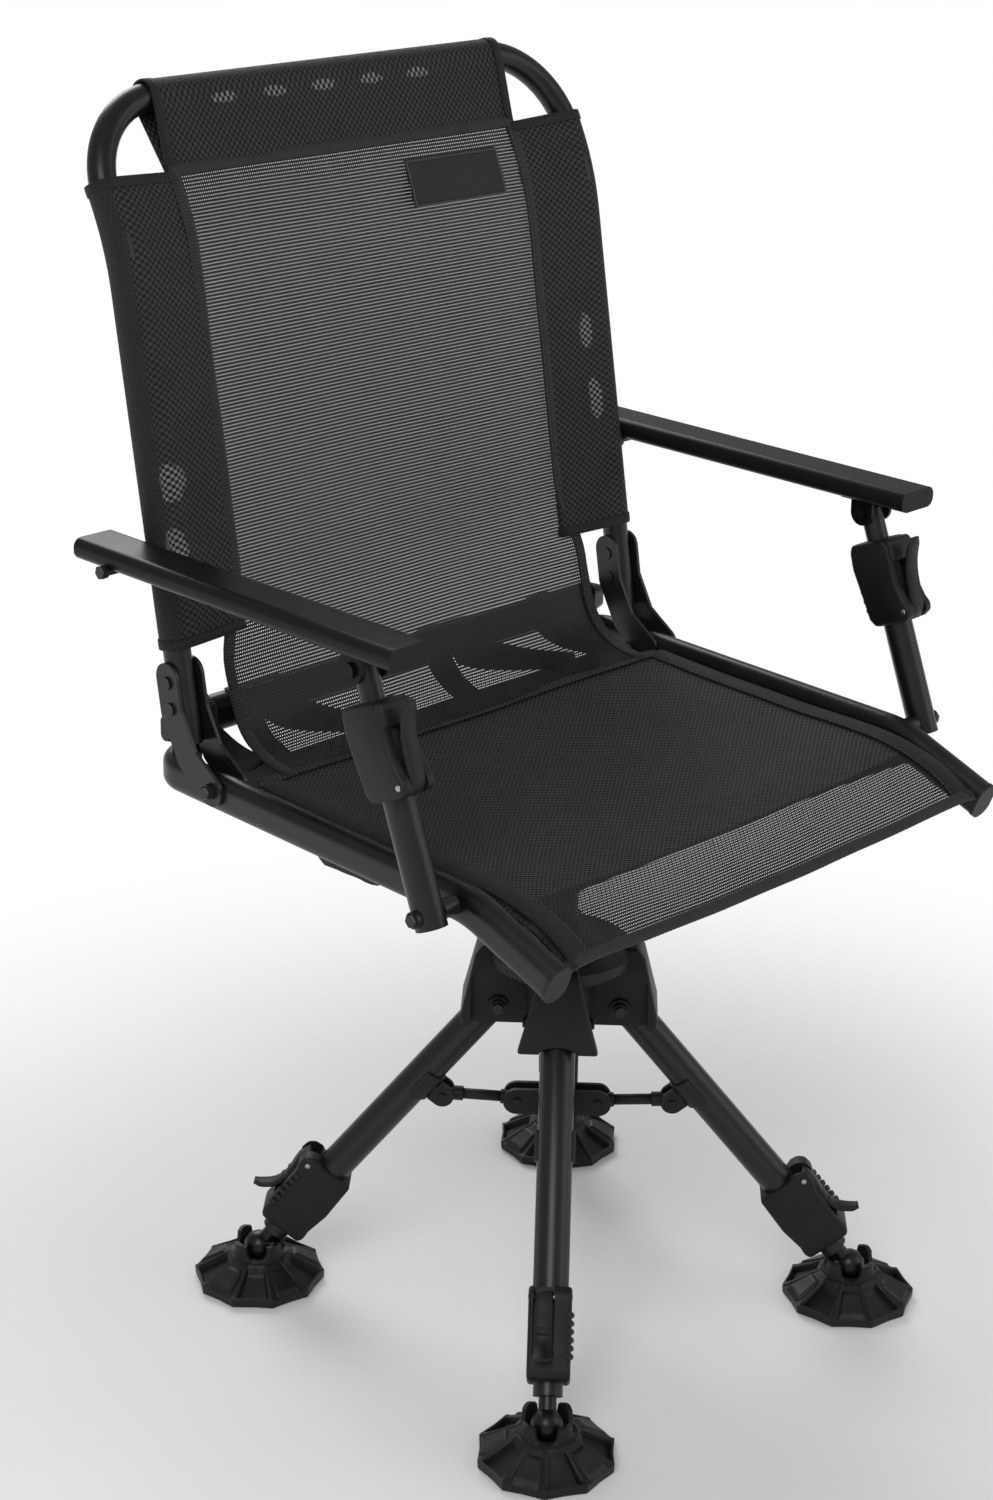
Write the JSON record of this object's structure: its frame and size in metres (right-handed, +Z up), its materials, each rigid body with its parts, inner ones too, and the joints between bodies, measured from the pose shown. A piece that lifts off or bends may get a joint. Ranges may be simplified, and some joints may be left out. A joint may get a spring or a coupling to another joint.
{
  "type": "folding swivel chair",
  "caption": "Low folding swivel chair with a mesh back and sling seat, arm rests on telescoping struts, and folding telescoping legs on ball-jointed mud feet.",
  "frame": {"origin": "on the floor, on the swivel axis, with the feet flat on the floor", "axes": "+Z up along the swivel axis; the front of the seat faces -Y; +X is the sitter's left; the base is turned two degrees under the seat"},
  "size_m": [0.5404, 0.4691, 0.883],
  "materials": {
    "powder_coat": "satin powder coat",
    "arm_coat": "satin powder coat",
    "moulded_black": "fine moulded texture",
    "fastener_black": "black oxide",
    "mesh_fabric": "open woven vinyl-coated mesh",
    "sling_fabric": "ribbed woven mesh",
    "bare_post": "satin"
  },
  "bodies": {
    "base": {"hub": "moulded_black", "leg_pivot_bolts": "fastener_black", "centre_post": "bare_post", "post_cap": "moulded_black", "bearing_cup": "moulded_black"},
    "slider": {"brace_slider": "moulded_black"},
    "seat": {"rail_right": "powder_coat", "rail_left": "powder_coat", "rail_plugs": "moulded_black", "stop_tube": "powder_coat", "crossbars": "powder_coat", "seat_plate": "powder_coat", "swivel_spindle": "powder_coat", "frame_bolts": "fastener_black", "seat_sling": "sling_fabric", "apron": "mesh_fabric", "under_panel": "sling_fabric"},
    "back": {"back_frame": "powder_coat", "hinge_plates": "powder_coat", "back_panel": "mesh_fabric"},
    "arm_pivot_right": {"arm_pivot_right": "fastener_black"},
    "arm_right": {"arm_right": "arm_coat"},
    "strut_lower_right": {"strut_outer_right": "powder_coat", "strut_clamp_right": "moulded_black"},
    "strut_upper_right": {"strut_inner_right": "powder_coat"},
    "strut_lever_right": {"strut_lever_right": "moulded_black"},
    "arm_pivot_left": {"arm_pivot_left": "fastener_black"},
    "arm_left": {"arm_left": "arm_coat"},
    "strut_lower_left": {"strut_outer_left": "powder_coat", "strut_clamp_left": "moulded_black"},
    "strut_upper_left": {"strut_inner_left": "powder_coat"},
    "strut_lever_left": {"strut_lever_left": "moulded_black"},
    "leg_front_right": {"leg_tube_front_right": "powder_coat", "leg_bracket_front_right": "moulded_black", "leg_lock_front_right": "moulded_black"},
    "leg_inner_front_right": {"leg_inner_front_right": "powder_coat"},
    "leg_lever_front_right": {"leg_lever_front_right": "moulded_black"},
    "mud_foot_front_right": {"mud_foot_front_right": "moulded_black"},
    "brace_front_right": {"brace_front_right": "moulded_black"},
    "leg_front_left": {"leg_tube_front_left": "powder_coat", "leg_bracket_front_left": "moulded_black", "leg_lock_front_left": "moulded_black"},
    "leg_inner_front_left": {"leg_inner_front_left": "powder_coat"},
    "leg_lever_front_left": {"leg_lever_front_left": "moulded_black"},
    "mud_foot_front_left": {"mud_foot_front_left": "moulded_black"},
    "brace_front_left": {"brace_front_left": "moulded_black"},
    "leg_rear_left": {"leg_tube_rear_left": "powder_coat", "leg_bracket_rear_left": "moulded_black", "leg_lock_rear_left": "moulded_black"},
    "leg_inner_rear_left": {"leg_inner_rear_left": "powder_coat"},
    "leg_lever_rear_left": {"leg_lever_rear_left": "moulded_black"},
    "mud_foot_rear_left": {"mud_foot_rear_left": "moulded_black"},
    "brace_rear_left": {"brace_rear_left": "moulded_black"},
    "leg_rear_right": {"leg_tube_rear_right": "powder_coat", "leg_bracket_rear_right": "moulded_black", "leg_lock_rear_right": "moulded_black"},
    "leg_inner_rear_right": {"leg_inner_rear_right": "powder_coat"},
    "leg_lever_rear_right": {"leg_lever_rear_right": "moulded_black"},
    "mud_foot_rear_right": {"mud_foot_rear_right": "moulded_black"},
    "brace_rear_right": {"brace_rear_right": "moulded_black"}
  },
  "joints": [
    {"name": "seat_swivel", "type": "hinge", "parent": "base", "child": "seat", "pos_m": [0, 0, 0.3], "axis": [0, 0, 1], "continuous": true},
    {"name": "back_fold", "type": "hinge", "parent": "seat", "child": "back", "pos_m": [0, 0.112, 0.433], "axis": [1, 0, 0], "range_deg": [0, 90]},
    {"name": "arm_turn_right", "type": "hinge", "parent": "back", "child": "arm_pivot_right", "pos_m": [-0.249, 0.1699, 0.583], "axis": [1, 0, 0], "range_deg": [-91, 0]},
    {"name": "strut_turn_right", "type": "hinge", "parent": "seat", "child": "strut_lower_right", "pos_m": [-0.249, -0.122, 0.426], "axis": [1, 0, 0], "range_deg": [0, 92.5]},
    {"name": "arm_height_right", "type": "slide", "parent": "strut_lower_right", "child": "strut_upper_right", "axis": [0, 0.3649, 0.9311], "range_m": [0, 0.025]},
    {"name": "arm_lift_right", "type": "hinge", "parent": "arm_pivot_right", "child": "arm_right", "pos_m": [-0.249, 0.1699, 0.583], "axis": [1, 0, 0], "range_deg": [-6, 0]},
    {"name": "strut_lever_turn_right", "type": "hinge", "parent": "strut_lower_right", "child": "strut_lever_right", "pos_m": [-0.249, -0.10895, 0.50999], "axis": [1, 0, 0], "range_deg": [0, 80]},
    {"name": "arm_turn_left", "type": "hinge", "parent": "back", "child": "arm_pivot_left", "pos_m": [0.249, 0.1699, 0.583], "axis": [1, 0, 0], "range_deg": [-91, 0]},
    {"name": "strut_turn_left", "type": "hinge", "parent": "seat", "child": "strut_lower_left", "pos_m": [0.249, -0.122, 0.426], "axis": [1, 0, 0], "range_deg": [0, 92.5]},
    {"name": "arm_height_left", "type": "slide", "parent": "strut_lower_left", "child": "strut_upper_left", "axis": [0, 0.3649, 0.9311], "range_m": [0, 0.025]},
    {"name": "arm_lift_left", "type": "hinge", "parent": "arm_pivot_left", "child": "arm_left", "pos_m": [0.249, 0.1699, 0.583], "axis": [1, 0, 0], "range_deg": [-6, 0]},
    {"name": "strut_lever_turn_left", "type": "hinge", "parent": "strut_lower_left", "child": "strut_lever_left", "pos_m": [0.249, -0.10895, 0.50999], "axis": [1, 0, 0], "range_deg": [0, 80]},
    {"name": "leg_fold_front_right", "type": "hinge", "parent": "base", "child": "leg_front_right", "pos_m": [-0.03218, -0.03001, 0.243], "axis": [0.682, -0.7314, 0], "range_deg": [0, 30]},
    {"name": "leg_extend_front_right", "type": "slide", "parent": "leg_front_right", "child": "leg_inner_front_right", "axis": [-0.4652, -0.4338, -0.7716], "range_m": [0, 0.19]},
    {"name": "leg_lever_turn_front_right", "type": "hinge", "parent": "leg_front_right", "child": "leg_lever_front_right", "pos_m": [-0.13408, -0.12503, 0.10385], "axis": [-0.682, 0.7314, 0], "range_deg": [0, 80]},
    {"name": "foot_tilt_front_right", "type": "hinge", "parent": "leg_inner_front_right", "child": "mud_foot_front_right", "pos_m": [-0.16243, -0.15147, 0.02695], "axis": [0.682, -0.7314, 0], "range_deg": [-15, 15]},
    {"name": "brace_turn_front_right", "type": "hinge", "parent": "leg_front_right", "child": "brace_front_right", "pos_m": [-0.06173, -0.05756, 0.1617], "axis": [0.682, -0.7314, 0], "range_deg": [-109.1, 0]},
    {"name": "leg_fold_front_left", "type": "hinge", "parent": "base", "child": "leg_front_left", "pos_m": [0.03001, -0.03218, 0.243], "axis": [0.7314, 0.682, 0], "range_deg": [0, 30.2]},
    {"name": "leg_extend_front_left", "type": "slide", "parent": "leg_front_left", "child": "leg_inner_front_left", "axis": [0.4338, -0.4652, -0.7716], "range_m": [0, 0.19]},
    {"name": "leg_lever_turn_front_left", "type": "hinge", "parent": "leg_front_left", "child": "leg_lever_front_left", "pos_m": [0.12503, -0.13408, 0.10385], "axis": [-0.7314, -0.682, 0], "range_deg": [0, 80]},
    {"name": "foot_tilt_front_left", "type": "hinge", "parent": "leg_inner_front_left", "child": "mud_foot_front_left", "pos_m": [0.15147, -0.16243, 0.02695], "axis": [0.7314, 0.682, 0], "range_deg": [-15, 15]},
    {"name": "brace_turn_front_left", "type": "hinge", "parent": "leg_front_left", "child": "brace_front_left", "pos_m": [0.05756, -0.06173, 0.1617], "axis": [0.7314, 0.682, 0], "range_deg": [-109.1, 0]},
    {"name": "leg_fold_rear_left", "type": "hinge", "parent": "base", "child": "leg_rear_left", "pos_m": [0.03218, 0.03001, 0.243], "axis": [-0.682, 0.7314, 0], "range_deg": [0, 30.2]},
    {"name": "leg_extend_rear_left", "type": "slide", "parent": "leg_rear_left", "child": "leg_inner_rear_left", "axis": [0.4652, 0.4338, -0.7716], "range_m": [0, 0.19]},
    {"name": "leg_lever_turn_rear_left", "type": "hinge", "parent": "leg_rear_left", "child": "leg_lever_rear_left", "pos_m": [0.13408, 0.12503, 0.10385], "axis": [0.682, -0.7314, 0], "range_deg": [0, 80]},
    {"name": "foot_tilt_rear_left", "type": "hinge", "parent": "leg_inner_rear_left", "child": "mud_foot_rear_left", "pos_m": [0.16243, 0.15147, 0.02695], "axis": [-0.682, 0.7314, 0], "range_deg": [-15, 15]},
    {"name": "brace_turn_rear_left", "type": "hinge", "parent": "leg_rear_left", "child": "brace_rear_left", "pos_m": [0.06173, 0.05756, 0.1617], "axis": [-0.682, 0.7314, 0], "range_deg": [-109.1, 0]},
    {"name": "leg_fold_rear_right", "type": "hinge", "parent": "base", "child": "leg_rear_right", "pos_m": [-0.03001, 0.03218, 0.243], "axis": [-0.7314, -0.682, 0], "range_deg": [0, 30.2]},
    {"name": "leg_extend_rear_right", "type": "slide", "parent": "leg_rear_right", "child": "leg_inner_rear_right", "axis": [-0.4338, 0.4652, -0.7716], "range_m": [0, 0.19]},
    {"name": "leg_lever_turn_rear_right", "type": "hinge", "parent": "leg_rear_right", "child": "leg_lever_rear_right", "pos_m": [-0.12503, 0.13408, 0.10385], "axis": [0.7314, 0.682, 0], "range_deg": [0, 80]},
    {"name": "foot_tilt_rear_right", "type": "hinge", "parent": "leg_inner_rear_right", "child": "mud_foot_rear_right", "pos_m": [-0.15147, 0.16243, 0.02695], "axis": [-0.7314, -0.682, 0], "range_deg": [-15, 15]},
    {"name": "brace_turn_rear_right", "type": "hinge", "parent": "leg_rear_right", "child": "brace_rear_right", "pos_m": [-0.05756, 0.06173, 0.1617], "axis": [-0.7314, -0.682, 0], "range_deg": [-109.1, 0]},
    {"name": "slider_travel", "type": "slide", "parent": "base", "child": "slider", "axis": [0, 0, 1], "range_m": [-0.06119, 0]}
  ],
  "couplings": [
    {"joint": "arm_turn_right", "follows": "back_fold", "ratio": -0.9918},
    {"joint": "strut_turn_right", "follows": "back_fold", "ratio": 1.0214},
    {"joint": "arm_lift_right", "follows": "arm_height_right", "rad_per_m": -3.99},
    {"joint": "arm_turn_left", "follows": "back_fold", "ratio": -0.9918},
    {"joint": "strut_turn_left", "follows": "back_fold", "ratio": 1.0214},
    {"joint": "arm_lift_left", "follows": "arm_height_left", "rad_per_m": -3.99},
    {"joint": "brace_turn_front_right", "follows": "leg_fold_front_right", "ratio": -3.6033},
    {"joint": "leg_fold_front_left", "follows": "leg_fold_front_right", "ratio": 1},
    {"joint": "brace_turn_front_left", "follows": "leg_fold_front_right", "ratio": -3.6033},
    {"joint": "leg_fold_rear_left", "follows": "leg_fold_front_right", "ratio": 1},
    {"joint": "brace_turn_rear_left", "follows": "leg_fold_front_right", "ratio": -3.6033},
    {"joint": "leg_fold_rear_right", "follows": "leg_fold_front_right", "ratio": 1},
    {"joint": "brace_turn_rear_right", "follows": "leg_fold_front_right", "ratio": -3.6033},
    {"joint": "slider_travel", "follows": "leg_fold_front_right", "m_per_rad": -0.11591}
  ]
}
